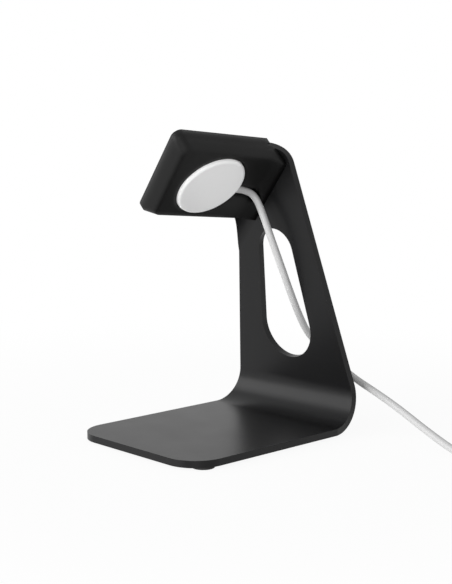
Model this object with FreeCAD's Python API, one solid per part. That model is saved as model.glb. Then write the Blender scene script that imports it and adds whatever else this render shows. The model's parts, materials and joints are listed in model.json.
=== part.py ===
"""Smartwatch charging stand: one folded aluminium plate, a soft cradle and a round corded charger.

Frame: +X towards the free end of the arm, +Z up, origin on the table under the middle of the stand.
"""
import FreeCAD, Part
import math
import os

V = FreeCAD.Vector

# Folded plate
PLATE = 2.6                # sheet thickness
BASE_WIDTH = 67.5          # base plate across Y
BASE_LENGTH = 87.0         # overall depth of base and back bend
BASE_CORNER = 12.5         # round of the two front corners
BACK_BEND = 11.5           # inner radius where the base turns up into the neck
NECK_LEAN = 11.5           # forward lean of the neck, degrees
NECK_TAPER = 10.7          # inward slope of each neck edge, degrees
FOLD_HEIGHT = 100.3        # along the neck to the arm's fold, at the middle of the neck
FOLD_SLOPE = 46.9          # slope of the fold line across the neck, degrees
FOLD_TURN = 78.9           # how far the arm is folded forward, degrees
FOLD_BEND = 8.0            # inner radius of the arm's fold
FOLD_FLOW_LOW = 0.5        # how fully the plate's lower and upper edges run on into the fold
FOLD_FLOW_HIGH = 1.0
ARM_SKEW = 11.7            # arm's own direction away from square to the fold, degrees
ARM_SHIFT = 3.9            # arm's middle line below the neck's middle, along the fold
ARM_WIDTH = 36.4
ARM_END_MARGIN = 3.0       # soft material past the arm's free end
SLOT_TOP = 70.0            # cable slot: heights along the neck and end radii
SLOT_BOTTOM = 39.0
SLOT_TOP_RADIUS = 9.0
SLOT_BOTTOM_RADIUS = 13.0
RAIL_STEPS = 12            # points along each edge of a bend

# Feet
FOOT_HEIGHT = 0.8
FOOT_RADIUS = 4.0
FRONT_FOOT_INSET = 9.0     # front feet's middles in from the front edge
FRONT_FOOT_SIDE = 5.0      # and from the side edges
BACK_FOOT_SIDE = 11.0      # back feet's middles in from the side edges

# Soft cradle on the arm
CRADLE_FACE_HALF = 16.4    # half width of the rear face
CRADLE_RIM_HALF = 19.4     # half width of the watch side
CRADLE_DEPTH = 7.4
CRADLE_RIM = 2.5           # straight land along the watch side
CRADLE_RIM_PAST = 1.3      # land's reach over the start of the arm's fold
CRADLE_FRONT = 22.7        # free end, from the charger's middle along the arm
CRADLE_FRONT_BEVEL = 2.2
CRADLE_CORNER = 3.0
CRADLE_UNDER = 4.0         # soft layer under the arm
MOUTH_FIT = 0.4            # land clear of the fold's edges, each side
HEEL_FIT = 0.1             # cradle's heel clear of the neck that it leans on
HEEL_DROP = 2.2            # heel's reach down the neck, past the rear face
HEEL_RUN = 7.0             # its slope's length along the arm

# Round charger
PUCK_REACH = 28.9          # from the fold to the charger's middle, along the arm
PUCK_RADIUS = 14.0
PUCK_PROUD = 1.2           # rear of the charger above the cradle's rear face
PUCK_EDGE = 1.4            # round of its rear edge
PUCK_WALL = 1.2
PUCK_CAP = 1.2             # depth of the charging face's rim
PUCK_DISH = 0.8            # hollow of the charging face
PUCK_LIP = 0.7             # lip of the charging face inside the shell
PUCK_FACE_EDGE = 0.5       # slope at the charging face's rim
WINDING_INNER = 4.6
WINDING_OUTER = 10.6
WINDING_DEPTH = 1.0
SHIELD_DEPTH = 0.6
BOARD_DEPTH = 0.8
MAGNET_RADIUS = 4.0
POST_RADIUS = 1.2
POST_CIRCLE = 9.0
POSTS = 3
POST_FIRST = 30.0          # place of the first post, degrees
PUCK_FIT = 0.15            # radial clearance of the charger in the cradle
ARM_FIT = 0.4              # radial clearance of the charger in the arm
SEAT_FIT = 0.1             # radial clearance of the charger's own inner pieces

# Cable and its end
CABLE = 2.8
CABLE_LEVEL = 0.9          # cable's middle below the cradle's rear face
CABLE_TURN = 5.4           # its exit, turned down from the arm's direction, degrees
RELIEF_RADIUS = 1.6
RELIEF_LENGTH = 4.0
GROOVE_FIT = 0.6           # groove past the strain relief, each side
COIL_MID = 33.6            # middle diameter of the put-away coil
COIL_BACK = 60.0           # coil's middle behind the stand's middle
COIL_SIDE = 102.0          # and to its side
CABLE_STRAIGHT = 5.0       # straight cable past the strain relief
LAY_FIT = 0.1              # gap between the coil and the cable lying against it
TAIL = 8.0                 # cable between the coil and the plug
COIL_ACROSS = 5            # turns side by side, and layers of them
COIL_LAYERS = 2
COIL_CUT = 0.8             # corners of the coil's section
ARC_SHARE = 0.45           # share of the shorter run that each bend of the cable takes up
TIE_WIDTH = 5.0
TIE_WALL = 0.9
PLUG_WIDTH = 15.4          # moulded body of the plug
PLUG_LENGTH = 20.0
PLUG_HEIGHT = 7.4
PLUG_ROUND = 2.0
PLUG_SHELL_WIDTH = 12.0    # metal shell of the plug
PLUG_SHELL_LENGTH = 12.5
PLUG_SHELL_HEIGHT = 4.5
PLUG_SHELL_WALL = 0.4
PLUG_TONGUE = 1.8
PLUG_RELIEF = 7.0
PLUG_RELIEF_RADIUS = 2.3
CONTACTS = 4
CONTACT_WIDTH = 1.2
CONTACT_LENGTH = 7.0
CONTACT_HEIGHT = 0.3
CONTACT_PITCH = 2.2


def rad(angle):
    return math.radians(angle)


# Places worked out from the sizes above
BASE_BOTTOM = FOOT_HEIGHT
HALF = BASE_WIDTH / 2
FRONT = BASE_LENGTH / 2
BEND_OUTER = BACK_BEND + PLATE
BEND_CENTRE = V(-FRONT + BEND_OUTER, 0, BASE_BOTTOM + BEND_OUTER)
NECK_UP = V(math.sin(rad(NECK_LEAN)), 0, math.cos(rad(NECK_LEAN)))
NECK_OUT = V(math.cos(rad(NECK_LEAN)), 0, -math.sin(rad(NECK_LEAN)))
X_AXIS = V(1, 0, 0)
Y_AXIS = V(0, 1, 0)
Z_AXIS = V(0, 0, 1)
# foot of the neck's front face, where its plane meets the table
NECK_LEVEL = BEND_CENTRE - NECK_OUT * BACK_BEND
NECK_FOOT = NECK_LEVEL - NECK_UP * (NECK_LEVEL.z / NECK_UP.z)
NECK_START = (NECK_LEVEL - NECK_FOOT).Length
FOLD = Y_AXIS * math.cos(rad(FOLD_SLOPE)) + NECK_UP * math.sin(rad(FOLD_SLOPE))
FOLD_UP = NECK_UP * math.cos(rad(FOLD_SLOPE)) - Y_AXIS * math.sin(rad(FOLD_SLOPE))
ARM_OUT = FOLD_UP * math.cos(rad(FOLD_TURN)) + NECK_OUT * math.sin(rad(FOLD_TURN))
ARM_REAR = NECK_OUT * math.cos(rad(FOLD_TURN)) - FOLD_UP * math.sin(rad(FOLD_TURN))
ARM_ALONG = FOLD * math.sin(rad(ARM_SKEW)) + ARM_OUT * math.cos(rad(ARM_SKEW))
ARM_ACROSS = FOLD * math.cos(rad(ARM_SKEW)) - ARM_OUT * math.sin(rad(ARM_SKEW))
FOLD_POINT = NECK_FOOT + NECK_UP * FOLD_HEIGHT
FOLD_SETBACK = FOLD_BEND * math.tan(rad(FOLD_TURN / 2))
ARM_ROOT = FOLD_POINT - FOLD * ARM_SHIFT
PUCK_CENTRE = ARM_ROOT + ARM_ALONG * PUCK_REACH + ARM_REAR * CRADLE_UNDER
SKEW = math.tan(rad(ARM_SKEW))
# the flat of the arm ends where the fold starts
CRADLE_BACK = PUCK_REACH - FOLD_SETBACK / math.cos(rad(ARM_SKEW))
CABLE_OUT = ARM_ALONG * -math.cos(rad(CABLE_TURN)) - ARM_ACROSS * math.sin(rad(CABLE_TURN))
COIL_CENTRE = V(-COIL_BACK, COIL_SIDE, 0)
PLUG_BODY = V(PLUG_WIDTH, PLUG_LENGTH, PLUG_HEIGHT)
PLUG_SHELL = V(PLUG_SHELL_WIDTH, PLUG_SHELL_LENGTH, PLUG_SHELL_HEIGHT)
CONTACT = V(CONTACT_WIDTH, CONTACT_LENGTH, CONTACT_HEIGHT)


def neck(y, up, out=0.0):
    """Point on the neck: across, up along it from the table, and out from its front face."""
    return NECK_FOOT + Y_AXIS * y + NECK_UP * up + NECK_OUT * out


def arm(across, along, rear=0.0):
    """Point on the arm, from the charger's middle on the cradle's rear face."""
    return PUCK_CENTRE + ARM_ACROSS * across + ARM_ALONG * along + ARM_REAR * rear


def neck_half(up):
    """Half width of the neck at a height along it."""
    return HALF - up * math.tan(rad(NECK_TAPER))


def polygon(points):
    return Part.Wire(Part.makePolygon(points + points[:1]))


def prism(points, direction):
    return Part.Face(polygon(points)).extrude(direction)


def rounded(points, radii):
    """Closed wire through the points, each corner replaced by a tangent arc of its radius."""
    edges = []
    starts, ends, mids = [], [], []
    count = len(points)
    for i, corner in enumerate(points):
        before = (points[i - 1] - corner).normalize()
        after = (points[(i + 1) % count] - corner).normalize()
        half = before.getAngle(after) / 2
        reach = radii[i] / math.tan(half)
        middle = (before + after).normalize()
        starts.append(corner + before * reach)
        ends.append(corner + after * reach)
        mids.append(corner + middle * (radii[i] / math.sin(half) - radii[i]))
    for i in range(count):
        if radii[i]:
            edges.append(Part.Arc(starts[i], mids[i], ends[i]).toShape())
        edges.append(Part.LineSegment(ends[i], starts[(i + 1) % count]).toShape())
    return Part.Wire(edges)


def straight(start, end):
    """Edge of a bend that is a straight cut on the flat blank."""
    return lambda share: start + (end - start) * share


def flowing(start, end, start_slope, end_slope):
    """Edge of a bend that runs into its two straight neighbours without a kink."""
    def place(share):
        eased = start + (end - start) * share ** 2 * (3 - 2 * share)
        return eased + start_slope * share * (1 - share) ** 2 - end_slope * share ** 2 * (1 - share)

    return place


def bend(centre, axis, out, turn, radius, left, right):
    """Bent strip of sheet: left and right give the places of its edges along the axis through the bend."""
    side = axis.cross(out)

    def edge(reach, edge_place):
        points = []
        for i in range(RAIL_STEPS + 1):
            angle = rad(turn) * i / RAIL_STEPS
            spoke = out * math.cos(angle) + side * math.sin(angle)
            points.append(centre + spoke * reach + axis * edge_place(i / RAIL_STEPS))
        curve = Part.BSplineCurve()
        curve.interpolate(points)
        return curve.toShape()

    inner, outer = radius, radius + PLATE
    rails = [edge(inner, left), edge(outer, left), edge(outer, right), edge(inner, right)]
    faces = [Part.makeRuledSurface(rails[i], rails[(i + 1) % 4]) for i in range(4)]
    for end in (0, 1):
        faces.append(Part.Face(polygon([rail.Vertexes[end].Point for rail in rails])))
    shell = Part.Shell(faces)
    shell.sewShape()
    solid = Part.Solid(Part.Shell(shell.Faces))
    if solid.Volume < 0:
        solid.reverse()
    return solid


def revolve(points, centre, across, axis):
    """Solid of revolution from (radius, height) points; a third value makes an arc's middle point."""
    def place(p):
        return centre + across * p[0] + axis * p[1]

    edges = []
    for i, point in enumerate(points):
        following = points[(i + 1) % len(points)]
        start, end = place(point), place(following)
        if len(point) > 2:
            edges.append(Part.Arc(start, place(point[2]), end).toShape())
        else:
            edges.append(Part.LineSegment(start, end).toShape())
    return Part.Face(Part.Wire(edges)).revolve(centre, axis, 360)


def arm_revolve(points):
    return revolve(points, PUCK_CENTRE, ARM_ACROSS, ARM_REAR)


def arm_disc(radius, bottom, top, across=0.0, along=0.0):
    return Part.makeCylinder(radius, top - bottom, arm(across, along, bottom), ARM_REAR)


def fold_edge(sign):
    """One edge of the plate through the fold: its place where the fold starts and ends, and between."""
    slope = rad(FOLD_SLOPE)
    start = FOLD_HEIGHT - FOLD_SETBACK / math.cos(slope)
    y = sign * neck_half(start) / (1 + sign * math.tan(slope) * math.tan(rad(NECK_TAPER)))
    on_neck = y / math.cos(slope) - FOLD_SETBACK * math.tan(slope)
    on_arm = FOLD_SETBACK * SKEW + sign * ARM_WIDTH / 2 / math.cos(rad(ARM_SKEW)) - ARM_SHIFT
    length = (FOLD_BEND + PLATE / 2) * rad(FOLD_TURN)
    flow = FOLD_FLOW_HIGH if sign > 0 else FOLD_FLOW_LOW
    neck_slope = flow * math.tan(rad(FOLD_SLOPE - sign * NECK_TAPER))
    return on_neck, on_arm, flowing(on_neck, on_arm, neck_slope * length, SKEW * length)


def stand_plate():
    edges = [fold_edge(sign) for sign in (-1, 1)]
    (neck_left, arm_left, left), (neck_right, arm_right, right) = edges
    base = Part.Face(rounded(
        [V(BEND_CENTRE.x, -HALF, BASE_BOTTOM), V(FRONT, -HALF, BASE_BOTTOM),
         V(FRONT, HALF, BASE_BOTTOM), V(BEND_CENTRE.x, HALF, BASE_BOTTOM)],
        [0, BASE_CORNER, BASE_CORNER, 0])).extrude(Z_AXIS * PLATE)
    narrow = neck_half(NECK_START)
    back = bend(BEND_CENTRE, Y_AXIS, Z_AXIS * -1, 90 + NECK_LEAN, BACK_BEND,
                straight(-HALF, -narrow), straight(HALF, narrow))
    fold_line = FOLD_POINT - FOLD_UP * FOLD_SETBACK
    upright = prism([neck(-narrow, NECK_START), neck(narrow, NECK_START),
                     fold_line + FOLD * neck_right, fold_line + FOLD * neck_left], NECK_OUT * -PLATE)
    top = bend(fold_line + NECK_OUT * FOLD_BEND, FOLD, NECK_OUT * -1, FOLD_TURN, FOLD_BEND, left, right)
    arm_line = FOLD_POINT + ARM_OUT * FOLD_SETBACK
    end = CRADLE_FRONT - ARM_END_MARGIN
    free = [arm(sign * ARM_WIDTH / 2, end + sign * ARM_WIDTH / 2 * SKEW, -CRADLE_UNDER) for sign in (-1, 1)]
    tongue = Part.Face(rounded(
        [arm_line + FOLD * arm_left, free[0], free[1], arm_line + FOLD * arm_right],
        [0, CRADLE_CORNER, CRADLE_CORNER, 0])).extrude(ARM_REAR * -PLATE)
    plate = base.fuse([back, upright, top, tongue])
    return plate.cut([slot_cutter(), arm_disc(PUCK_RADIUS + ARM_FIT, -CRADLE_DEPTH, 0)])


def slot_cutter():
    """Tapered slot with round ends, through the neck."""
    rise = SLOT_TOP - SLOT_BOTTOM
    lean = math.asin((SLOT_BOTTOM_RADIUS - SLOT_TOP_RADIUS) / rise)

    def at(height, radius, angle):
        return neck(radius * math.cos(angle), height + radius * math.sin(angle), PLATE)

    low, high = (SLOT_BOTTOM, SLOT_BOTTOM_RADIUS), (SLOT_TOP, SLOT_TOP_RADIUS)
    edges = [Part.Arc(at(*high, lean), at(*high, math.pi / 2), at(*high, math.pi - lean)).toShape(),
             Part.LineSegment(at(*high, math.pi - lean), at(*low, math.pi - lean)).toShape(),
             Part.Arc(at(*low, math.pi - lean), at(*low, -math.pi / 2), at(*low, lean)).toShape(),
             Part.LineSegment(at(*low, lean), at(*high, lean)).toShape()]
    return Part.Face(Part.Wire(edges)).extrude(NECK_OUT * (-3 * PLATE))


def cradle_outline(half, front, back, level):
    corners = [(-half, -back), (-half, front), (half, front), (half, -back)]
    points = [arm(across, along + across * SKEW, level) for across, along in corners]
    return rounded(points, [0, CRADLE_CORNER, CRADLE_CORNER, 0])


def cradle_rim(back):
    return cradle_outline(CRADLE_RIM_HALF, CRADLE_FRONT, back, CRADLE_RIM - CRADLE_DEPTH)


def cradle_body(back, below=0.0):
    """Bevelled soft block from below the rear face to the rim; back is its reach behind the charger."""
    share = 1 + below / (CRADLE_DEPTH - CRADLE_RIM)
    face = cradle_outline(CRADLE_RIM_HALF - (CRADLE_RIM_HALF - CRADLE_FACE_HALF) * share,
                          CRADLE_FRONT - CRADLE_FRONT_BEVEL * share, back, below)
    return Part.makeLoft([face, cradle_rim(back)], True, True)


def fold_inside():
    """Room in the corner between the arm and the neck, with the fold's round, as long as the fold."""
    corner = FOLD_POINT + ARM_OUT * (HEEL_FIT / math.sin(rad(FOLD_TURN)))
    low, high = corner - FOLD_UP * FOLD_SETBACK, corner + ARM_OUT * FOLD_SETBACK
    centre = low + NECK_OUT * FOLD_BEND
    middle = centre + (corner - centre).normalize() * FOLD_BEND
    far = ARM_OUT * BASE_LENGTH
    outline = [Part.Arc(low, middle, high).toShape()]
    ends = [high, high + far, low + far - FOLD_UP * BASE_WIDTH, low - FOLD_UP * BASE_WIDTH, low]
    outline += [Part.LineSegment(a, b).toShape() for a, b in zip(ends, ends[1:])]
    side = FOLD * BASE_WIDTH
    face = Part.Face(Part.Wire(outline))
    face.translate(side * -1)
    return face.extrude(side * 2)


def heel_slope():
    """Room above the sloped underside of the heel, as long as the fold."""
    corner = FOLD_POINT - FOLD_UP * (CRADLE_UNDER / math.sin(rad(FOLD_TURN)))
    front, low = corner + ARM_OUT * HEEL_RUN, corner - FOLD_UP * HEEL_DROP
    behind, above = ARM_OUT * -BASE_WIDTH, ARM_REAR * -BASE_WIDTH
    side = FOLD * BASE_WIDTH
    points = [front, low, low + behind, low + behind + above, front + above]
    return prism([point - side for point in points], side * 2)


def groove_leg(first, last):
    """Round-ended slot along a straight run of the cable, open to the rear."""
    half = RELIEF_RADIUS + GROOVE_FIT
    floor = -(CABLE_LEVEL + half)
    start, end = [point + ARM_REAR * (floor - (point - PUCK_CENTRE).dot(ARM_REAR)) for point in (first, last)]
    ahead = (end - start).normalize() * half
    side = ahead.cross(ARM_REAR)
    outline = [Part.Arc(start + side, start - ahead, start - side).toShape(),
               Part.LineSegment(start - side, end - side).toShape(),
               Part.Arc(end - side, end + ahead, end + side).toShape(),
               Part.LineSegment(end + side, start + side).toShape()]
    return Part.Face(Part.Wire(outline)).extrude(ARM_REAR * 2 * CRADLE_DEPTH)


def arm_sleeve(half, front):
    """Flat room for the arm inside the cradle, open behind; front is its end from the charger's middle."""
    corners = [(-half, -2 * CRADLE_BACK), (-half, front), (half, front), (half, -2 * CRADLE_BACK)]
    points = [arm(across, along + across * SKEW, -CRADLE_UNDER) for across, along in corners]
    return prism(points, ARM_REAR * -PLATE)


def cradle():
    land = Part.Face(cradle_rim(CRADLE_BACK + CRADLE_RIM_PAST)).extrude(ARM_REAR * -CRADLE_RIM)
    past = CRADLE_BACK + 2 * FOLD_BEND
    heel = cradle_body(past).common(fold_inside())
    wedge = cradle_body(past, HEEL_DROP).common(fold_inside()).common(heel_slope())
    solid = cradle_body(CRADLE_BACK).fuse([land, heel, wedge])
    bore = arm_disc(PUCK_RADIUS + PUCK_FIT, -2 * CRADLE_DEPTH, CRADLE_DEPTH)
    sleeve = arm_sleeve(ARM_WIDTH / 2, CRADLE_FRONT - ARM_END_MARGIN)
    mouth = arm_sleeve(ARM_WIDTH / 2 + MOUTH_FIT, -CRADLE_BACK)
    # the cable lies in the rear face as far as the bend that takes it down the neck
    grooves = [groove_leg(relief_start(), CABLE_ROUTE[1]), groove_leg(CABLE_ROUTE[1], CABLE_ROUTE[2])]
    return solid.cut([bore, sleeve, mouth] + grooves).removeSplitter()


def feet():
    solids = []
    rows = [(FRONT - FRONT_FOOT_INSET, HALF - FRONT_FOOT_SIDE),
            (BEND_CENTRE.x + FOOT_RADIUS, HALF - BACK_FOOT_SIDE)]
    for x, y in rows:
        solids += [Part.makeCylinder(FOOT_RADIUS, FOOT_HEIGHT, V(x, sign * y, 0)) for sign in (-1, 1)]
    return Part.makeCompound(solids)


# Levels inside the charger, from the charging face back
FACE_LEVEL = -CRADLE_DEPTH
CAP_LEVEL = FACE_LEVEL + PUCK_CAP
STACK_LEVEL = CAP_LEVEL + PUCK_LIP
SHIELD_LEVEL = STACK_LEVEL + WINDING_DEPTH
BOARD_LEVEL = SHIELD_LEVEL + SHIELD_DEPTH
BOARD_TOP = BOARD_LEVEL + BOARD_DEPTH
SHELL_INSIDE = PUCK_PROUD - PUCK_WALL
INNER = PUCK_RADIUS - PUCK_WALL


def puck_rear_shell():
    edge = PUCK_RADIUS - PUCK_EDGE
    turn = PUCK_EDGE * math.sqrt(0.5)
    cup = arm_revolve([
        (0, PUCK_PROUD), (edge, PUCK_PROUD, (edge + turn, PUCK_PROUD - PUCK_EDGE + turn)),
        (PUCK_RADIUS, PUCK_PROUD - PUCK_EDGE), (PUCK_RADIUS, CAP_LEVEL), (INNER, CAP_LEVEL),
        (INNER, SHELL_INSIDE), (0, SHELL_INSIDE)])
    angles = [rad(POST_FIRST + i * 360 / POSTS) for i in range(POSTS)]
    posts = [arm_disc(POST_RADIUS, BOARD_TOP, SHELL_INSIDE, POST_CIRCLE * math.cos(a),
                      POST_CIRCLE * math.sin(a)) for a in angles]
    exit_hole = Part.makeCylinder(RELIEF_RADIUS, 2 * PUCK_WALL, relief_start(), CABLE_OUT)
    return cup.fuse(posts).cut(exit_hole)


def puck_charging_face():
    """Face with a round dish for the back of the watch, and a lip that fits in the shell."""
    reach = PUCK_RADIUS - PUCK_EDGE
    ball = (reach ** 2 + PUCK_DISH ** 2) / (2 * PUCK_DISH)
    half_angle = math.asin(reach / ball) / 2
    middle = (ball * math.sin(half_angle), FACE_LEVEL + PUCK_DISH - ball + ball * math.cos(half_angle))
    return arm_revolve([
        (0, FACE_LEVEL + PUCK_DISH, middle), (reach, FACE_LEVEL),
        (PUCK_RADIUS, FACE_LEVEL + PUCK_FACE_EDGE), (PUCK_RADIUS, CAP_LEVEL),
        (INNER - SEAT_FIT, CAP_LEVEL), (INNER - SEAT_FIT, STACK_LEVEL), (0, STACK_LEVEL)])


def relief_start():
    return PUCK_CENTRE + CABLE_OUT * INNER - ARM_REAR * CABLE_LEVEL


def puck_strain_relief():
    length = PUCK_WALL + RELIEF_LENGTH
    return Part.makeCone(RELIEF_RADIUS, CABLE / 2 + SEAT_FIT, length, relief_start(), CABLE_OUT)


COIL_WIDTH = COIL_ACROSS * CABLE
COIL_HEIGHT = COIL_LAYERS * CABLE
CABLE_START = relief_start() + CABLE_OUT * (PUCK_WALL + RELIEF_LENGTH)
COIL_REACH = COIL_MID / 2 + COIL_WIDTH / 2 + LAY_FIT + CABLE / 2
# hand-chosen route from the charger, down the neck, through the slot and along the table to the coil
CABLE_ROUTE = [
    CABLE_START,
    CABLE_START + CABLE_OUT * CABLE_STRAIGHT,
    V(-21.3, -0.9, 88.2),
    V(-22.0, 1.6, 82.4),
    V(-23.1, 4.2, 75.0),
    V(-26.3, 6.5, 64.2),
    V(-30.0, 7.9, 53.9),
    V(-34.6, 8.3, 44.4),
    V(-40.6, 7.9, 35.6),
    V(-48.2, 10.8, 27.2),
    V(-50.6, 22.0, 19.2),
    V(-49.9, 36.0, 14.6),
    V(-47.4, 49.5, 10.7),
    V(-43.8, 64.0, 6.2),
    V(-40.2, 79.0, 2.2),
    V(-35.5, 91.0, 1.45),
    COIL_CENTRE + V(COIL_REACH, 0, CABLE / 2),
]


def cable_tube():
    """Straight runs joined by tangent arcs, each as large as its two runs allow."""
    points = CABLE_ROUTE
    edges = []
    last = points[0]
    for before, corner, after in zip(points, points[1:], points[2:]):
        to_before, to_after = before - corner, after - corner
        short = min(to_before.Length, to_after.Length)
        reach = ARC_SHARE * short
        half = to_before.getAngle(to_after) / 2
        to_before.normalize()
        to_after.normalize()
        radius = reach * math.tan(half)
        print("cable radius %.1f mm, turn %.0f degrees, run %.1f"
              % (radius, 180 - 2 * math.degrees(half), short))
        start, end = corner + to_before * reach, corner + to_after * reach
        middle = (to_before + to_after).normalize()
        edges.append(Part.LineSegment(last, start).toShape())
        edges.append(Part.Arc(start, corner + middle * (radius / math.sin(half) - radius), end).toShape())
        last = end
    edges.append(Part.LineSegment(last, points[-1]).toShape())
    path = Part.Wire(edges)
    section = Part.Wire(Part.makeCircle(CABLE / 2, points[0], points[1] - points[0]))
    tube = path.makePipeShell([section], True, False)
    print("cable tube %.1f mm long, volume ratio %.4f"
          % (path.Length, tube.Volume / (path.Length * math.pi * CABLE ** 2 / 4)))
    return tube


def cable_ring():
    """Outer shape of the wound cable, with the corners of its section cut."""
    low, high = COIL_MID / 2 - COIL_WIDTH / 2, COIL_MID / 2 + COIL_WIDTH / 2
    top = COIL_HEIGHT - COIL_CUT
    section = [(low + COIL_CUT, 0), (high - COIL_CUT, 0), (high, COIL_CUT), (high, top),
               (high - COIL_CUT, COIL_HEIGHT), (low + COIL_CUT, COIL_HEIGHT), (low, top), (low, COIL_CUT)]
    return revolve(section, COIL_CENTRE, X_AXIS, Z_AXIS)


def cable_tie():
    """Flat band round the coil, flush with the table underneath."""
    def block(grow, bottom):
        width = COIL_WIDTH + 2 * grow
        return Part.makeBox(TIE_WIDTH, width, COIL_HEIGHT + grow - bottom,
                            COIL_CENTRE + V(-TIE_WIDTH / 2, COIL_MID / 2 - width / 2, bottom))

    return block(TIE_WALL, 0).cut(block(0, TIE_WALL))


def plug_box(size, start, middle):
    """Box centred on the plug's line, running towards -Y from a distance along it."""
    return Part.makeBox(size.x, size.y, size.z, middle - V(size.x / 2, start + size.y, size.z / 2))


def plug_pieces():
    """Cable end, strain relief, moulded body, metal shell, tongue and contacts of the plug."""
    line = COIL_CENTRE + V(-COIL_REACH, 0, PLUG_BODY.z / 2)
    towards = Y_AXIS * -1
    body_start = TAIL + PLUG_RELIEF
    shell_start = body_start + PLUG_BODY.y
    body = plug_box(PLUG_BODY, body_start, line)
    body = body.makeFillet(PLUG_ROUND, body.Edges)
    outer = plug_box(PLUG_SHELL, shell_start, line)
    wall = V(PLUG_SHELL_WALL, 0, PLUG_SHELL_WALL) * 2
    shell = outer.cut(plug_box(PLUG_SHELL - wall, shell_start, line))
    drop = V(0, 0, (PLUG_SHELL.z - PLUG_TONGUE) / 2 - PLUG_SHELL_WALL)
    tongue = plug_box(V(PLUG_SHELL.x - wall.x, PLUG_SHELL.y, PLUG_TONGUE), shell_start, line + drop)
    contact_drop = drop - V(0, 0, (PLUG_TONGUE + CONTACT.z) / 2)
    first = -(CONTACTS - 1) / 2 * CONTACT_PITCH
    contacts = [plug_box(CONTACT, shell_start, line + contact_drop + V(first + i * CONTACT_PITCH, 0, 0))
                for i in range(CONTACTS)]
    return {
        "cable_tail": Part.makeCylinder(CABLE / 2, TAIL, line, towards),
        "plug_strain_relief": Part.makeCone(CABLE / 2 + SEAT_FIT, PLUG_RELIEF_RADIUS, PLUG_RELIEF,
                                            line + towards * TAIL, towards),
        "plug_body": body,
        "plug_metal_shell": shell,
        "plug_tongue": tongue,
        "plug_contacts": Part.makeCompound(contacts),
    }


def run():
    nodes = {
        "stand_plate": stand_plate(),
        "rubber_feet": feet(),
        "watch_cradle": cradle(),
        "puck_rear_shell": puck_rear_shell(),
        "puck_charging_face": puck_charging_face(),
        "charging_coil": arm_disc(WINDING_OUTER, STACK_LEVEL, SHIELD_LEVEL).cut(
            arm_disc(WINDING_INNER, STACK_LEVEL, SHIELD_LEVEL)),
        "alignment_magnet": arm_disc(MAGNET_RADIUS, STACK_LEVEL, SHIELD_LEVEL),
        "ferrite_shield": arm_disc(INNER - SEAT_FIT, SHIELD_LEVEL, BOARD_LEVEL),
        "circuit_board": arm_disc(INNER - SEAT_FIT, BOARD_LEVEL, BOARD_TOP),
        "puck_strain_relief": puck_strain_relief(),
        "cable_tube": cable_tube(),
        "cable_coil": cable_ring().cut(cable_tie()),
        "cable_tie": cable_tie(),
    }
    nodes.update(plug_pieces())
    os.makedirs("parts", exist_ok=True)
    for name, shape in nodes.items():
        box = shape.BoundBox
        print(name, len(shape.Solids), "solids, valid", shape.isValid(), "volume %.1f" % shape.Volume,
              "z %.2f to %.2f" % (box.ZMin, box.ZMax))
        shape.exportStep("parts/%s.step" % name)


run()
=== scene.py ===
"""Finish, cable and studio for a folded-plate watch charging stand, around its packed model."""

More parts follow.
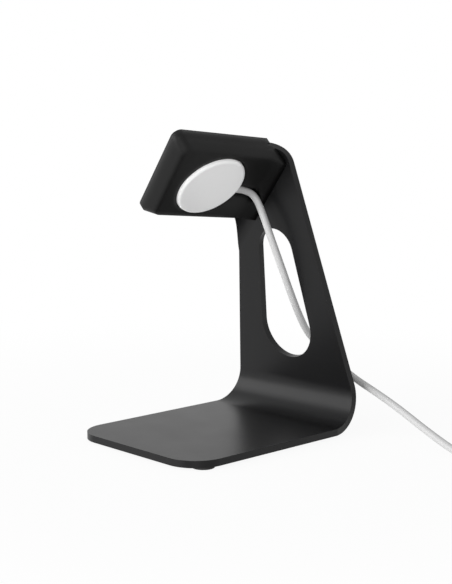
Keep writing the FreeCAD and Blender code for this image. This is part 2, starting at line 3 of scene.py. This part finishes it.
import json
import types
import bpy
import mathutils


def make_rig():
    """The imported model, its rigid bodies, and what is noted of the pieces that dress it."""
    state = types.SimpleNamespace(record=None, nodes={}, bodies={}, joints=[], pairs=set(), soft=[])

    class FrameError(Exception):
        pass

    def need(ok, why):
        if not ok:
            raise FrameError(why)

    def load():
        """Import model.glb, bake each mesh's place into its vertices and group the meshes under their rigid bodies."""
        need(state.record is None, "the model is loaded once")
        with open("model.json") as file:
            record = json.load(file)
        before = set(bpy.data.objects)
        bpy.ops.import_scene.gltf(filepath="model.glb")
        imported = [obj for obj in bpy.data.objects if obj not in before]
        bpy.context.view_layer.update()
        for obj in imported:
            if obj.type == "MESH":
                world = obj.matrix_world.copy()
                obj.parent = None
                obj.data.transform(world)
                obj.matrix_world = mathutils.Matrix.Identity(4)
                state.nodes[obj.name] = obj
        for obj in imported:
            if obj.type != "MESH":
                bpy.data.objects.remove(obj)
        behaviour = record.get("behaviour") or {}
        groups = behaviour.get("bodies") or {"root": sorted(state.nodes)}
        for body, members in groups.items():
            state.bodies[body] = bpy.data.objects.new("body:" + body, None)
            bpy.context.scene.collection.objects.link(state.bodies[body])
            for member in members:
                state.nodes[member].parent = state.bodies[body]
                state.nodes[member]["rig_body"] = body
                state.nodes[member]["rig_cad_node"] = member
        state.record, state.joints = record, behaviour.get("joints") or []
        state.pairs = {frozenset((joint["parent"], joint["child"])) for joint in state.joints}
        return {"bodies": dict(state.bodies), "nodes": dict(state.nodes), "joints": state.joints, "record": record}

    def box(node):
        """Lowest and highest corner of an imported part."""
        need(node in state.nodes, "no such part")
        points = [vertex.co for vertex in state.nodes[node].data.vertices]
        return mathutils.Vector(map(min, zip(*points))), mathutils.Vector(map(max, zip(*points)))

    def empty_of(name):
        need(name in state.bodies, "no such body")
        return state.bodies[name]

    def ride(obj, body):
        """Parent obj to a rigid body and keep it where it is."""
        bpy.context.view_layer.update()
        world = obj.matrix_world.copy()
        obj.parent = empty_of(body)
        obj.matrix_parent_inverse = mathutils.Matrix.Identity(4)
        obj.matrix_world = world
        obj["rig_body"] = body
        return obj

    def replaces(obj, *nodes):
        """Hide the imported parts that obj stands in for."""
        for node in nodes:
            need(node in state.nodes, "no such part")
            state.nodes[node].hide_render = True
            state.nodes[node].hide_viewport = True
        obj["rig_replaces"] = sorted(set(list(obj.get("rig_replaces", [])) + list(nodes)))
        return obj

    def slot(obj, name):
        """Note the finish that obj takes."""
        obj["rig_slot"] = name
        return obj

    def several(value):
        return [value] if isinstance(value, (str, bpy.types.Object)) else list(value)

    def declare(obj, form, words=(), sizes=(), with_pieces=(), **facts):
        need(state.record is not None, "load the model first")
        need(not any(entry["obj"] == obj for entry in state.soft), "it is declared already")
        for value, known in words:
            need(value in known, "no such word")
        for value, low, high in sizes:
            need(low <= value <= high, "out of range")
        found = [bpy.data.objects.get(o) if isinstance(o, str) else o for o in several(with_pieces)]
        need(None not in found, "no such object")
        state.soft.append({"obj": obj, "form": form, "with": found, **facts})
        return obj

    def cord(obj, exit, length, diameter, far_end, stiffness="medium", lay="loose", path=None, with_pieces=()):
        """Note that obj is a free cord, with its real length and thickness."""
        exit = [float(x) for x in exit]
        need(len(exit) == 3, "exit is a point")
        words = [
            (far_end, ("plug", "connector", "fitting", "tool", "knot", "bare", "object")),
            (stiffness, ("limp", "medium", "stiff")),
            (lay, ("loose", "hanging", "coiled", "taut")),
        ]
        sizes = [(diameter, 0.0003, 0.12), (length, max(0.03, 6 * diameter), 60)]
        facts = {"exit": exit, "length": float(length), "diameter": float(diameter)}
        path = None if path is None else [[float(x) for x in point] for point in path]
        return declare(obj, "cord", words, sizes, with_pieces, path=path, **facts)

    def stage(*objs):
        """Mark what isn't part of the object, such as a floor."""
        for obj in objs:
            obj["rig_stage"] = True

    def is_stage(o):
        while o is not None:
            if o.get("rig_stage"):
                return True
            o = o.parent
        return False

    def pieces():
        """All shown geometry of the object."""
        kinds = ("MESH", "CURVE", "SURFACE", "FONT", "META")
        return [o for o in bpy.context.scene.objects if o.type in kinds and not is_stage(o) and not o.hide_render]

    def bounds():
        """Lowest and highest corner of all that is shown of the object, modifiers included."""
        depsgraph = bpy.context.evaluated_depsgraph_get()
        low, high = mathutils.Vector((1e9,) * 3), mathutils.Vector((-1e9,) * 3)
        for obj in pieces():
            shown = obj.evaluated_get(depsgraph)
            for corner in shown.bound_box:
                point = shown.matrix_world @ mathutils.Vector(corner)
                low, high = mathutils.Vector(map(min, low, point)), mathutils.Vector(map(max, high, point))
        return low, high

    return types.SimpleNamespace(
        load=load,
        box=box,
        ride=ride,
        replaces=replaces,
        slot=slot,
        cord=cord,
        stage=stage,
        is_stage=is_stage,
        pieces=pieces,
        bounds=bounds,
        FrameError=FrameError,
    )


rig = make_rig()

bl_info = {
    "name": "Watch charging stand",
    "version": (1, 0, 0),
    "blender": (4, 5, 0),
    "location": "3D View > Sidebar > Stand",
    "description": "Dresses a folded aluminium charging stand with its soft cradle, charger and cable",
    "category": "Object",
}

import bpy
import json
import math
from bpy.props import FloatProperty, FloatVectorProperty, IntProperty, PointerProperty
from mathutils import Vector

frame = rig.load()
NODES = frame["nodes"]
CAD_BOX = [list(corner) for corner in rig.bounds()]
MM = 0.001

# Grain of a finish: its cloudy patches are this many grains wide, and it stands this share of its pitch high
CLOUD_GRAINS = 40
GRAIN_HEIGHT = 0.1
# Rays that look for a moulded edge close by, where light runs round it
EDGE_RAYS = 8
# Depth of light in pale plastic, in red, green and blue, as shares of the shader's own scale
PALE_DEPTH = (0.001, 0.001, 0.001)
# Numbers of the Mix node's colour sockets, which share their names with its plain ones
MIX_FIRST, MIX_SECOND, MIX_RESULT = 6, 7, 2

# Outline of the CAD nodes: corners sharper than the angle get a small round
WELD_DISTANCE = 0.002 * MM
ROUND_ANGLE = math.radians(35)
ROUND_SEGMENTS = 3
FOOT_EDGE = 0.15 * MM
RELIEF_EDGE = 0.2 * MM
TIE_EDGE = 0.3 * MM
PLUG_EDGE = 0.1 * MM
CONTACT_EDGE = 0.05 * MM

# The cable's route in millimetres, from the charger through the neck's slot to the coil
CABLE_ROUTE = [
    (-13.5, -1.5, 92.9), (-18.4, -1.9, 92.0), (-21.3, -0.9, 88.2), (-22.0, 1.6, 82.4), (-23.1, 4.2, 75.0),
    (-26.3, 6.5, 64.2), (-30.0, 7.9, 53.9), (-34.6, 8.3, 44.4), (-40.6, 7.9, 35.6), (-48.2, 10.8, 27.2),
    (-50.6, 22.0, 19.2), (-49.9, 36.0, 14.6), (-47.4, 49.5, 10.7), (-43.8, 64.0, 6.2), (-40.2, 79.0, 2.2),
    (-35.5, 91.0, 1.45),
]
CABLE_LENGTH = 0.977
# Rings of faces from one control point to the next, and how finely each ring is divided
CABLE_RINGS = 6
CABLE_ROUND = 5
COIL_CENTRE = (-60.0, 102.0)
# Turns that the two layers lose to the climb between them and to the loose ends, and the turns it takes
COIL_ENDS = 2.5
COIL_CLIMB = 0.7
# The last run to the plug starts this many millimetres inside its solid
TAIL_INSET = 1
ON_CABLE = ("cable_tie", "plug_strain_relief", "plug_body", "plug_metal_shell", "plug_tongue",
            "plug_contacts")

# The floor reaches this far each way, just under the feet, and runs out to plain white between two distances
FLOOR_REACH = 3.0
FLOOR_DROP = 0.02 * MM
SHADOW_NEAR, SHADOW_FAR = 0.09, 0.3
# Share of white in the floor close to the object, where the rest shows its shadow
SHADOW_LIFT = 0.92
WHITE = (1, 1, 1, 1)
PHOTO_HEIGHT = 584
SENSOR_HEIGHT = 24.0
NEAREST_SEEN = 0.01

# Soft lamps: place, the point that each faces, its width and height in metres, and its power in watts
LAMPS = {
    "key_softbox": ((0.68, -0.86, 0.45), (0, 0, 0.05), (0.8, 0.7), 5),
    "front_softbox": ((1.0, -0.2, 0.12), (0, 0, 0.08), (0.5, 0.2), 7),
    "fill_softbox": ((0.8, 0.85, 0.14), (0, 0, 0.08), (0.3, 0.2), 3.4),
}


def linear(code):
    """Linear RGB of an sRGB hex colour."""
    def channel(pair):
        value = int(pair, 16) / 255
        return value / 12.92 if value <= 0.04045 else ((value + 0.055) / 1.055) ** 2.4

    return tuple(channel(code[i:i + 2]) for i in (1, 3, 5))


def colour(name, description, code):
    """Colour property with an sRGB hex value as its default."""
    return FloatVectorProperty(name=name, description=description, subtype="COLOR", size=3,
                               min=0, max=1, default=linear(code))


def length(name, description, millimetres):
    """Length property with its default given in millimetres."""
    return FloatProperty(name=name, description=description, unit="LENGTH", default=millimetres * MM)


class StandFinish(bpy.types.PropertyGroup):
    """Colours and grain of the stand's own pieces."""
    plate: colour("Plate", "Black anodised sheet", "#0a0a0b")
    plate_light: colour("Plate, light grain", "Lighter grains of the blasted sheet", "#101011")
    plate_grain: length("Plate grain", "Pitch of the blasted grain", 0.35)
    plate_edge: length("Plate edge", "Broken edge of the sheet", 0.35)
    cradle: colour("Cradle", "Black soft plastic of the cradle", "#080808")
    cradle_grain: length("Cradle grain", "Pitch of the mould's spark texture", 0.3)
    cradle_edge: length("Cradle edge", "Round of the cradle's moulded edges", 0.8)
    cradle_soft: length("Cradle softness", "Radius over which light runs round the cradle's edges", 2.8)
    foot: colour("Foot", "Black rubber of the feet", "#101010")


class ChargerFinish(bpy.types.PropertyGroup):
    """Colours of the round charger, its cable and its plug."""
    shell: colour("Shell", "Gloss white plastic", "#f4f4f4")
    plug: colour("Plug", "White plastic of the plug", "#e2e2e2")
    jacket: colour("Cable jacket", "Smooth white cable jacket", "#bababa")
    strap: colour("Tie", "Soft white tie round the coil", "#cfcfcf")
    copper: colour("Winding", "Enamelled copper wire", "#b8673a")
    ferrite: colour("Shield", "Sintered ferrite", "#4a4a4c")
    laminate: colour("Board", "Green solder mask", "#1f5a38")
    nickel: colour("Nickel", "Nickel plating", "#c2c0bb")
    gold: colour("Contacts", "Gold flash on the contacts", "#d6b25e")


class CableSizes(bpy.types.PropertyGroup):
    """Sizes of the cable, as the packed model has them."""
    diameter: length("Diameter", "Outside diameter of the cable", 2.8)
    coil: length("Coil", "Middle diameter of the put-away coil", 33.6)
    across: IntProperty(name="Turns across", description="Turns side by side in the coil", default=5, min=2)
    steps: IntProperty(name="Points a turn", description="Control points in one turn of the coil",
                       default=16, min=12)


class StageSettings(bpy.types.PropertyGroup):
    """Camera and light."""
    eye: FloatVectorProperty(name="Eye", description="Camera's place", subtype="XYZ", unit="LENGTH",
                             default=(0.31797, 0.33937, 0.11773))
    target: FloatVectorProperty(name="Target", description="Point in the picture's middle", subtype="XYZ",
                                unit="LENGTH", default=(-0.00357, 0.0, 0.05481))
    focal: FloatProperty(name="Focal length", description="Focal length in pixels of the photograph's frame",
                         subtype="PIXEL", default=1248.9)
    floor: colour("Floor", "Pale floor", "#f6f6f6")
    room: FloatProperty(name="Room light", description="Strength of the even light from all round",
                        default=0.58, min=0)


SETTINGS = {"stand_finish": StandFinish, "charger_finish": ChargerFinish,
            "cable_sizes": CableSizes, "stage_settings": StageSettings}


def add_node(tree, kind, settings=None, links=None):
    """Adds one node: settings are its properties or input values, links join its inputs to outputs."""
    node = tree.nodes.new(kind)
    for key, value in (settings or {}).items():
        if isinstance(key, int) or key in node.inputs:
            node.inputs[key].default_value = value
        else:
            setattr(node, key, value)
    for key, socket in (links or {}).items():
        tree.links.new(socket, node.inputs[key])
    return node


def new_material(name, shader_settings):
    """Material with one Principled shader; returns it, its tree and that shader."""
    material = bpy.data.materials.new(name)
    material.use_nodes = True
    tree = material.node_tree
    tree.nodes.clear()
    shader = add_node(tree, "ShaderNodeBsdfPrincipled", shader_settings)
    add_node(tree, "ShaderNodeOutputMaterial", links={"Surface": shader.outputs["BSDF"]})
    return material, tree, shader


def grained(name, dark, light, grain, roughness, spread, bump, shader_settings, soften=0.0):
    """Material whose colour and height follow one fine grain, and whose roughness drifts over wider patches.

    grain is the pitch in metres, spread how far the roughness drifts each way, bump the grain's strength, and
    soften the radius over which light runs round a moulded edge. The pitches are coarser than the real
    grains, which would be too fine to show.
    """
    material, tree, shader = new_material(name, shader_settings)
    place = add_node(tree, "ShaderNodeTexCoord")
    noise = add_node(tree, "ShaderNodeTexNoise", {"Scale": 1 / grain, "Detail": 3.0, "Roughness": 0.6},
                     {"Vector": place.outputs["Object"]})
    cloud = add_node(tree, "ShaderNodeTexNoise", {"Scale": 1 / (CLOUD_GRAINS * grain), "Detail": 2.0},
                     {"Vector": place.outputs["Object"]})
    shade = add_node(tree, "ShaderNodeMix",
                     {"data_type": "RGBA", MIX_FIRST: (*dark, 1), MIX_SECOND: (*light, 1)},
                     {"Factor": noise.outputs["Fac"]})
    rough = add_node(tree, "ShaderNodeMapRange", {"To Min": roughness - spread, "To Max": roughness + spread},
                     {"Value": cloud.outputs["Fac"]})
    height = add_node(tree, "ShaderNodeBump", {"Strength": bump, "Distance": grain * GRAIN_HEIGHT},
                      {"Height": noise.outputs["Fac"]})
    if soften:
        edge = add_node(tree, "ShaderNodeBevel", {"samples": EDGE_RAYS, "Radius": soften})
        tree.links.new(edge.outputs["Normal"], height.inputs["Normal"])
    tree.links.new(shade.outputs[MIX_RESULT], shader.inputs["Base Color"])
    tree.links.new(rough.outputs["Result"], shader.inputs["Roughness"])
    tree.links.new(height.outputs["Normal"], shader.inputs["Normal"])
    return material


def lighter(rgb, factor):
    """Colour made lighter, or darker where the factor is under 1."""
    return tuple(min(1.0, value * factor) for value in rgb)


def anodised_aluminium(finish):
    """Blasted and black anodised sheet: a dark satin that greys where it mirrors the room at a low angle."""
    return grained("black_anodised_aluminium", finish.plate, finish.plate_light, finish.plate_grain,
                   roughness=0.35, spread=0.03, bump=0.04,
                   shader_settings={"IOR": 1.5, "Specular IOR Level": 0.22})


def soft_tpu(finish):
    """Moulded soft plastic with a fine spark texture: nearly black, with a dull sheen and soft edges."""
    return grained("black_soft_tpu", finish.cradle, lighter(finish.cradle, 1.25), finish.cradle_grain,
                   roughness=0.5, spread=0.04, bump=0.1,
                   shader_settings={"IOR": 1.48, "Specular IOR Level": 0.22}, soften=finish.cradle_soft)


def foot_rubber(finish):
    """Die-cut rubber sheet: a flat black that takes no clear highlight."""
    return grained("black_foot_rubber", finish.foot, lighter(finish.foot, 1.4), grain=0.4 * MM,
                   roughness=0.75, spread=0.05, bump=0.3, shader_settings={"IOR": 1.5})


def milky(ior, weight):
    """Shader settings of a pale plastic that lets a little light in below its skin."""
    return {"IOR": ior, "Subsurface Weight": weight, "Subsurface Radius": PALE_DEPTH}


def white_abs(rgb):
    """Injection-moulded gloss white plastic: an even milky white with a soft highlight."""
    return grained("gloss_white_abs", lighter(rgb, 0.97), rgb, grain=1.2 * MM,
                   roughness=0.28, spread=0.03, bump=0.02, shader_settings=milky(1.53, 0.05))


def cable_jacket(finish):
    """Extruded soft white jacket: smooth satin, greyer than the shell."""
    return grained("satin_white_tpe", lighter(finish.jacket, 0.96), finish.jacket, grain=0.8 * MM,
                   roughness=0.5, spread=0.04, bump=0.05, shader_settings=milky(1.5, 0.04))


def tie_silicone(finish):
    """Moulded silicone strap: a dry matt white."""
    return grained("matt_white_silicone", lighter(finish.strap, 0.92), finish.strap, grain=0.5 * MM,
                   roughness=0.6, spread=0.05, bump=0.2, shader_settings={"IOR": 1.5})


def copper_winding(finish):
    """Enamelled copper wire wound flat: a warm metal whose glint is broken up by the uneven turns."""
    wire = 0.5 * MM
    material, tree, shader = new_material("enamelled_copper", {"Metallic": 1.0, "Roughness": 0.35,
                                                               "Base Color": (*finish.copper, 1)})
    place = add_node(tree, "ShaderNodeTexCoord")
    noise = add_node(tree, "ShaderNodeTexNoise", {"Scale": 1 / wire, "Detail": 2.0},
                     {"Vector": place.outputs["Object"]})
    height = add_node(tree, "ShaderNodeBump", {"Strength": 0.4, "Distance": 0.1 * MM},
                      {"Height": noise.outputs["Fac"]})
    tree.links.new(height.outputs["Normal"], shader.inputs["Normal"])
    return material


def sintered_ferrite(finish):
    """Pressed and sintered powder: a matt, slightly sandy grey."""
    return grained("sintered_ferrite", lighter(finish.ferrite, 0.8), finish.ferrite, grain=0.3 * MM,
                   roughness=0.7, spread=0.05, bump=0.3, shader_settings={"IOR": 1.8})


def board_laminate(finish):
    """Glass-fibre laminate under green solder mask: a satin green with a faint mottle."""
    return grained("green_laminate", lighter(finish.laminate, 0.85), finish.laminate, grain=0.6 * MM,
                   roughness=0.4, spread=0.04, bump=0.1, shader_settings={"IOR": 1.5})


def plated(name, rgb, roughness):
    """Thin bright plating: it mirrors the room, a little blurred."""
    return grained(name, lighter(rgb, 0.92), rgb, grain=0.5 * MM,
                   roughness=roughness, spread=0.04, bump=0.04, shader_settings={"Metallic": 1.0})


def dress(node, material, edge=0.0):
    """Gives a CAD node its material and, where edge is set, a softened outline of that width."""
    piece = NODES[node]
    piece.data.materials.clear()
    piece.data.materials.append(material)
    piece.data.polygons.foreach_set("use_smooth", [True] * len(piece.data.polygons))
    weld = piece.modifiers.new("weld", "WELD")
    weld.merge_threshold = WELD_DISTANCE
    if edge:
        bevel = piece.modifiers.new("edge", "BEVEL")
        bevel.width = edge
        bevel.segments = ROUND_SEGMENTS
        bevel.limit_method = "ANGLE"
        bevel.angle_limit = ROUND_ANGLE
        bevel.harden_normals = False
    normals = piece.modifiers.new("normals", "WEIGHTED_NORMAL")
    normals.keep_sharp = True


class DressPlate(bpy.types.Operator):
    """Finish of the folded plate and its feet"""
    bl_idname = "stand.dress_plate"
    bl_label = "Plate and feet"

    def execute(self, context):
        finish = context.scene.stand_finish
        dress("stand_plate", anodised_aluminium(finish), finish.plate_edge)
        dress("rubber_feet", foot_rubber(finish), FOOT_EDGE)
        return {"FINISHED"}


class DressCradle(bpy.types.Operator):
    """Finish of the soft cradle"""
    bl_idname = "stand.dress_cradle"
    bl_label = "Cradle"

    def execute(self, context):
        finish = context.scene.stand_finish
        dress("watch_cradle", soft_tpu(finish), finish.cradle_edge)
        return {"FINISHED"}


class DressCharger(bpy.types.Operator):
    """Finish of the round charger and of the pieces inside it"""
    bl_idname = "stand.dress_charger"
    bl_label = "Charger"

    def execute(self, context):
        finish = context.scene.charger_finish
        shell = white_abs(finish.shell)
        dress("puck_rear_shell", shell)
        dress("puck_charging_face", shell)
        dress("puck_strain_relief", cable_jacket(finish), RELIEF_EDGE)
        dress("charging_coil", copper_winding(finish))
        dress("alignment_magnet", plated("nickel_plated_magnet", finish.nickel, roughness=0.3))
        dress("ferrite_shield", sintered_ferrite(finish))
        dress("circuit_board", board_laminate(finish))
        return {"FINISHED"}


def coil_points(sizes):
    """Control points, in millimetres, of a lower layer wound inwards and an upper layer wound out again."""
    pitch = sizes.diameter / MM
    middle = sizes.coil / MM / 2
    outer = middle + pitch * sizes.across / 2 - pitch / 2
    inner = outer - pitch * (sizes.across - 1)
    # A control point stands outside the curve that it draws
    swell = 1 / math.cos(math.pi / sizes.steps)
    turns = 2 * sizes.across - COIL_ENDS
    half = turns / 2
    points = []
    for i in range(int(turns * sizes.steps) + 1):
        turn = i / sizes.steps
        angle = 2 * math.pi * turn
        inward = turn if turn < half else turns - turn
        radius = outer - (outer - inner) * inward / half
        climb = min(max((turn - half + COIL_CLIMB / 2) / COIL_CLIMB, 0.0), 1.0)
        height = pitch / 2 + pitch * climb * climb * (3 - 2 * climb)
        points.append((COIL_CENTRE[0] + swell * radius * math.cos(angle),
                       COIL_CENTRE[1] + swell * radius * math.sin(angle), height))
    return points


def tail_points():
    """Control points, in millimetres, of the last straight run into the plug's strain relief."""
    low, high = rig.box("cable_tail")
    x = (low.x + high.x) / 2 / MM
    z = (low.z + high.z) / 2 / MM
    return [(x, high.y / MM - TAIL_INSET, z), (x, low.y / MM, z)]


class LayCable(bpy.types.Operator):
    """The cable from the charger to its plug, as one smooth curve"""
    bl_idname = "stand.lay_cable"
    bl_label = "Cable"

    def execute(self, context):
        sizes = context.scene.cable_sizes
        points = CABLE_ROUTE + coil_points(sizes) + tail_points()
        curve = bpy.data.curves.new("charger_cable", "CURVE")
        curve.dimensions = "3D"
        curve.bevel_depth = sizes.diameter / 2
        curve.bevel_resolution = CABLE_ROUND
        curve.resolution_u = CABLE_RINGS
        curve.use_fill_caps = True
        spline = curve.splines.new("NURBS")
        spline.points.add(len(points) - 1)
        for point, place in zip(spline.points, points):
            point.co = (*(value * MM for value in place), 1)
        spline.order_u = 3
        spline.use_endpoint_u = True
        curve.materials.append(cable_jacket(context.scene.charger_finish))
        cable = bpy.data.objects.new("charger_cable", curve)
        context.scene.collection.objects.link(cable)
        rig.ride(cable, "root")
        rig.slot(cable, "white_cable")
        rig.replaces(cable, "cable_tube", "cable_coil", "cable_tail")
        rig.cord(cable, exit=[value * MM for value in CABLE_ROUTE[0]], length=CABLE_LENGTH,
                diameter=sizes.diameter, far_end="plug", stiffness="limp", lay="loose",
                with_pieces=[NODES[name] for name in ON_CABLE])
        return {"FINISHED"}


class DressPlug(bpy.types.Operator):
    """Finish of the tie and the plug"""
    bl_idname = "stand.dress_plug"
    bl_label = "Tie and plug"

    def execute(self, context):
        finish = context.scene.charger_finish
        housing = white_abs(finish.plug)
        dress("cable_tie", tie_silicone(finish), TIE_EDGE)
        dress("plug_strain_relief", cable_jacket(finish), RELIEF_EDGE)
        dress("plug_body", housing)
        dress("plug_metal_shell", plated("nickel_plated_steel", finish.nickel, roughness=0.32), PLUG_EDGE)
        dress("plug_tongue", housing, PLUG_EDGE)
        dress("plug_contacts", plated("gold_flash", finish.gold, roughness=0.28), CONTACT_EDGE)
        return {"FINISHED"}


def seen_directly(tree):
    """Socket that is 1 for rays that show the background: from the camera, a gloss or a clear body."""
    path = add_node(tree, "ShaderNodeLightPath")
    gloss = add_node(tree, "ShaderNodeMath", {"operation": "MAXIMUM"},
                     {0: path.outputs["Is Camera Ray"], 1: path.outputs["Is Glossy Ray"]})
    clear = add_node(tree, "ShaderNodeMath", {"operation": "MAXIMUM"},
                     {0: gloss.outputs[0], 1: path.outputs["Is Transmission Ray"]})
    return clear.outputs[0]


def aim(thing, place, target):
    """Puts a lamp or camera at a place and turns it to face a point."""
    thing.location = place
    thing.rotation_euler = (Vector(target) - Vector(place)).to_track_quat("-Z", "Y").to_euler()


def soft_lamp(scene, name, place, target, size, power):
    """Adds a rectangular lamp that faces a point."""
    light = bpy.data.lights.new(name, "AREA")
    light.shape = "RECTANGLE"
    light.size, light.size_y = size
    light.energy = power
    lamp = bpy.data.objects.new(name, light)
    aim(lamp, place, target)
    scene.collection.objects.link(lamp)


class SetStage(bpy.types.Operator):
    """Pale floor, soft studio light and the camera"""
    bl_idname = "stand.set_stage"
    bl_label = "Stage"

    def execute(self, context):
        scene = context.scene
        settings = scene.stage_settings
        scene.view_settings.view_transform = "Standard"
        self.floor(scene, settings)
        self.world(scene, settings)
        for name, (place, target, size, power) in LAMPS.items():
            soft_lamp(scene, name, place, target, size, power)
        self.camera(scene, settings)
        return {"FINISHED"}

    def floor(self, scene, settings):
        """Pale floor that keeps the shadow close to the object and runs out to white."""
        mesh = bpy.data.meshes.new("floor")
        corners = [(-1, -1, 0), (1, -1, 0), (1, 1, 0), (-1, 1, 0)]
        mesh.from_pydata([Vector(corner) * FLOOR_REACH for corner in corners], [], [(0, 1, 2, 3)])
        floor = bpy.data.objects.new("floor", mesh)
        floor.location.z = -FLOOR_DROP
        scene.collection.objects.link(floor)
        material = bpy.data.materials.new("pale_floor")
        material.use_nodes = True
        tree = material.node_tree
        tree.nodes.clear()
        matt = add_node(tree, "ShaderNodeBsdfDiffuse", {"Color": (*settings.floor, 1)})
        white = add_node(tree, "ShaderNodeEmission", {"Color": WHITE, "Strength": 1.0})
        place = add_node(tree, "ShaderNodeTexCoord")
        far = add_node(tree, "ShaderNodeVectorMath", {"operation": "LENGTH"}, {0: place.outputs["Object"]})
        share = add_node(tree, "ShaderNodeMapRange",
                         {"interpolation_type": "SMOOTHSTEP", "From Min": SHADOW_NEAR, "From Max": SHADOW_FAR,
                          "To Min": SHADOW_LIFT, "To Max": 1.0}, {"Value": far.outputs["Value"]})
        seen = add_node(tree, "ShaderNodeMath", {"operation": "MULTIPLY"},
                        {0: share.outputs["Result"], 1: seen_directly(tree)})
        both = add_node(tree, "ShaderNodeMixShader", None,
                        {0: seen.outputs[0], 1: matt.outputs[0], 2: white.outputs[0]})
        add_node(tree, "ShaderNodeOutputMaterial", None, {"Surface": both.outputs[0]})
        mesh.materials.append(material)
        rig.stage(floor)

    def world(self, scene, settings):
        """Even light from all round, which shows as plain white where it is seen directly."""
        world = bpy.data.worlds.new("studio")
        scene.world = world
        world.use_nodes = True
        tree = world.node_tree
        tree.nodes.clear()
        light = add_node(tree, "ShaderNodeBackground", {"Color": WHITE, "Strength": settings.room})
        white = add_node(tree, "ShaderNodeBackground", {"Color": WHITE, "Strength": 1.0})
        both = add_node(tree, "ShaderNodeMixShader", None,
                        {0: seen_directly(tree), 1: light.outputs[0], 2: white.outputs[0]})
        add_node(tree, "ShaderNodeOutputWorld", None, {"Surface": both.outputs[0]})

    def camera(self, scene, settings):
        """Camera at the photograph's place, with its focal length turned from pixels to millimetres."""
        lens = bpy.data.cameras.new("photo_camera")
        lens.sensor_fit = "VERTICAL"
        lens.sensor_height = SENSOR_HEIGHT
        lens.lens = settings.focal / PHOTO_HEIGHT * SENSOR_HEIGHT
        lens.clip_start = NEAREST_SEEN
        camera = bpy.data.objects.new("photo_camera", lens)
        aim(camera, settings.eye, settings.target)
        scene.collection.objects.link(camera)
        scene.camera = camera


PIECES = (DressPlate, DressCradle, DressCharger, LayCable, DressPlug, SetStage)


class StandPanel(bpy.types.Panel):
    """Lists the stand's pieces and their settings"""
    bl_idname = "VIEW3D_PT_charging_stand"
    bl_label = "Charging stand"
    bl_space_type = "VIEW_3D"
    bl_region_type = "UI"
    bl_category = "Stand"

    def draw(self, context):
        for piece in PIECES:
            self.layout.operator(piece.bl_idname)
        for name, group in SETTINGS.items():
            column = self.layout.column(heading=group.__doc__)
            for key in group.__annotations__:
                column.prop(getattr(context.scene, name), key)


CLASSES = (*SETTINGS.values(), *PIECES, StandPanel)


def register():
    for item in CLASSES:
        bpy.utils.register_class(item)
    for name, group in SETTINGS.items():
        setattr(bpy.types.Scene, name, PointerProperty(type=group))


def unregister():
    for name in SETTINGS:
        delattr(bpy.types.Scene, name)
    for item in reversed(CLASSES):
        bpy.utils.unregister_class(item)


def main():
    """Registers the classes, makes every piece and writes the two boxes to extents.json."""
    register()
    for piece in PIECES:
        group, name = piece.bl_idname.split(".")
        getattr(getattr(bpy.ops, group), name)()
    sizes = {"cad": CAD_BOX, "visual": [list(corner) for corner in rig.bounds()]}
    with open("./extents.json", "w") as out:
        json.dump(sizes, out)


if __name__ == "__main__":
    main()
